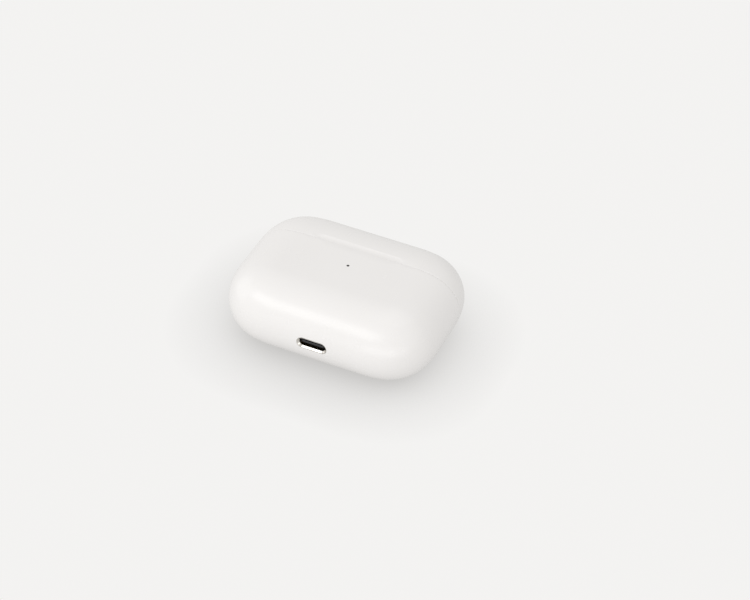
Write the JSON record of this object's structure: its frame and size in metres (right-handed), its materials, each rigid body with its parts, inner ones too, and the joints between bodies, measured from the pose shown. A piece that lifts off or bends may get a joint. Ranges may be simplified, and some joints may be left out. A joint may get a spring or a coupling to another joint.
{
  "type": "wireless earbuds case",
  "caption": "Pocket charging case for wireless earbuds: rounded glossy shell, hinged lid, moulded wells, battery, charging coil, port, light and back button.",
  "frame": {"origin": "middle of the bottom of the bounding box, with the case lying on its back and the lid closed", "axes": "+X across the case, +Y from the charging port towards the top of the lid, +Z out of the front face"},
  "size_m": [0.0606, 0.0452, 0.0217],
  "materials": {
    "shell_plastic": "glossy warm white",
    "tray_plastic": "satin white",
    "hinge_steel": "satin",
    "spring_steel": "satin",
    "port_steel": "dark satin",
    "gold_contact": "plated",
    "silver_contact": "plated",
    "black_plastic": "matte",
    "board_green": "solder mask",
    "flex_film": "film",
    "cell_foil": "foil pouch",
    "foam": "foam",
    "copper_winding": "enamelled copper",
    "ferrite": "matte",
    "magnet_nickel": "nickel plated",
    "light_lens": "smoked lens",
    "tip_silicone": "silicone",
    "mesh_black": "woven mesh",
    "ceramic": "ceramic"
  },
  "bodies": {
    "case": {"battery_flex": "flex_film", "battery_front": "cell_foil", "battery_pads": "foam", "battery_rear": "cell_foil", "board_capacitors": "ceramic", "board_screws": "spring_steel", "body_shell": "shell_plastic", "bud_tray": "tray_plastic", "button_switch": "black_plastic", "charging_coil": "copper_winding", "closure_magnets": "magnet_nickel", "contact_block_left": "black_plastic", "contact_block_right": "black_plastic", "contact_flex_left": "flex_film", "contact_flex_right": "flex_film", "detent_spring": "spring_steel", "ferrite_sheet": "ferrite", "flex_sockets": "black_plastic", "hinge_frame": "hinge_steel", "hinge_pin": "hinge_steel", "lid_sensor": "black_plastic", "light_pipe": "light_lens", "main_board": "board_green", "port_bracket": "spring_steel", "port_contacts": "gold_contact", "port_flex": "flex_film", "port_screws": "spring_steel", "port_sleeve": "port_steel", "port_tongue": "black_plastic", "port_trim_ring": "port_steel", "power_chips": "black_plastic", "shield_can": "spring_steel", "status_led": "light_lens", "status_light_strip": "flex_film", "tray_magnets": "magnet_nickel"},
    "lid": {"lid_shell": "shell_plastic", "lid_liner": "tray_plastic", "hinge_arm": "hinge_steel", "lid_magnets": "magnet_nickel", "lid_bumpers": "tip_silicone"},
    "setup_button": {"setup_button": "shell_plastic"},
    "contact_pin_left_outer": {"contact_pin_left_outer": "silver_contact"},
    "contact_pin_left_inner": {"contact_pin_left_inner": "silver_contact"},
    "contact_pin_right_inner": {"contact_pin_right_inner": "silver_contact"},
    "contact_pin_right_outer": {"contact_pin_right_outer": "silver_contact"},
    "earbud_left": {"earbud_contacts_left": "silver_contact", "earbud_head_left": "shell_plastic", "earbud_nozzle_mesh_left": "mesh_black", "earbud_stem_left": "shell_plastic", "earbud_tip_left": "tip_silicone", "earbud_vent_mesh_left": "mesh_black"},
    "earbud_right": {"earbud_contacts_right": "silver_contact", "earbud_head_right": "shell_plastic", "earbud_nozzle_mesh_right": "mesh_black", "earbud_stem_right": "shell_plastic", "earbud_tip_right": "tip_silicone", "earbud_vent_mesh_right": "mesh_black"}
  },
  "joints": [
    {"name": "lid_hinge", "type": "hinge", "parent": "case", "child": "lid", "pos_m": [0, 0.0071, 0.00125], "axis": [-1, 0, 0], "range_deg": [0, 100]},
    {"name": "setup_button_press", "type": "slide", "parent": "case", "child": "setup_button", "axis": [0, 0, 1], "range_m": [0, 0.0003], "stiffness_N_per_m": 600},
    {"name": "contact_pin_left_outer_press", "type": "slide", "parent": "case", "child": "contact_pin_left_outer", "axis": [0, -1, 0], "range_m": [0, 0.0004], "stiffness_N_per_m": 200},
    {"name": "contact_pin_left_inner_press", "type": "slide", "parent": "case", "child": "contact_pin_left_inner", "axis": [0, -1, 0], "range_m": [0, 0.0004], "stiffness_N_per_m": 200},
    {"name": "contact_pin_right_inner_press", "type": "slide", "parent": "case", "child": "contact_pin_right_inner", "axis": [0, -1, 0], "range_m": [0, 0.0004], "stiffness_N_per_m": 200},
    {"name": "contact_pin_right_outer_press", "type": "slide", "parent": "case", "child": "contact_pin_right_outer", "axis": [0, -1, 0], "range_m": [0, 0.0004], "stiffness_N_per_m": 200},
    {"name": "earbud_left_lift", "type": "slide", "parent": "case", "child": "earbud_left", "axis": [0, 1, 0], "range_m": [0, 0.0006]},
    {"name": "earbud_right_lift", "type": "slide", "parent": "case", "child": "earbud_right", "axis": [0, 1, 0], "range_m": [0, 0.0006]}
  ]
}
